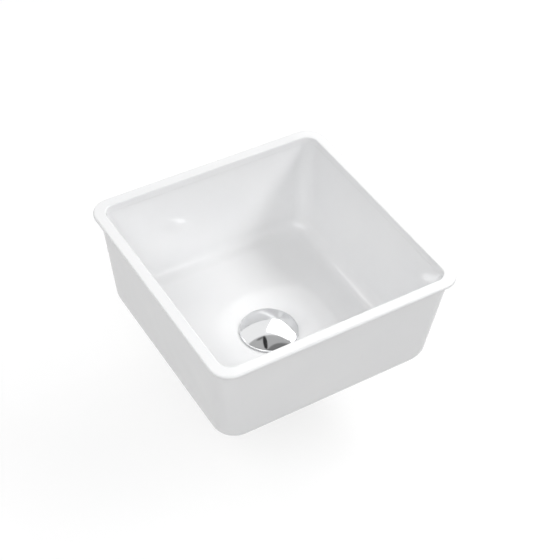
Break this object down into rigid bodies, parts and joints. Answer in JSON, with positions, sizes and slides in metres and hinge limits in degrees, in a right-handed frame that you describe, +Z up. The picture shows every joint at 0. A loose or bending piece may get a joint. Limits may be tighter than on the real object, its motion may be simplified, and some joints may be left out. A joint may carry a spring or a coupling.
{
  "type": "inset basin",
  "caption": "Square white ceramic basin with a thin overhanging flange, to be hung in a worktop, and a push-to-open waste under a chromed dome.",
  "frame": {"origin": "centre of the basin, level with the underside of its flange, where the worktop's surface is", "axes": "+Z up, -Y towards the user at the front, +X to the user's right"},
  "size_m": [0.33, 0.33, 0.2483],
  "materials": {
    "glaze": "glossy white glaze",
    "chrome_plate": "polished chrome plate on brass",
    "brass": "machined brass",
    "seal_rubber": "matt moulded rubber",
    "washer_plastic": "natural nylon",
    "carrier_plastic": "moulded, fine texture",
    "cam_plastic": "acetal",
    "pin_steel": "ground stainless steel",
    "spring_steel": "drawn stainless wire"
  },
  "bodies": {
    "basin": {"basin": "glaze", "waste_body": "chrome_plate", "upper_seal": "seal_rubber", "lower_seal": "seal_rubber", "slip_washer": "washer_plastic", "lock_nut": "brass", "tail_pipe": "chrome_plate", "tail_seal": "seal_rubber", "cartridge_housing": "brass", "stem_seal": "seal_rubber", "ring_clip": "spring_steel", "end_plug": "brass", "return_spring": "spring_steel"},
    "cap": {"cap_dome": "chrome_plate", "cap_carrier": "carrier_plastic", "cap_seal": "seal_rubber", "plunger": "brass"},
    "cam": {"cam_ring": "cam_plastic", "cam_pins": "pin_steel"}
  },
  "joints": [
    {"name": "cap_lift", "type": "slide", "parent": "basin", "child": "cap", "axis": [0, 0, 1], "range_m": [0, 0.009], "deforming": ["return_spring"]},
    {"name": "cam_turn", "type": "hinge", "parent": "basin", "child": "cam", "pos_m": [-0.0086, -0.0159, -0.155], "axis": [0, 0, 1], "range_deg": [0, 45]}
  ],
  "couplings": [
    {"joint": "cam_turn", "follows": "cap_lift", "rad_per_m": 87.266}
  ]
}
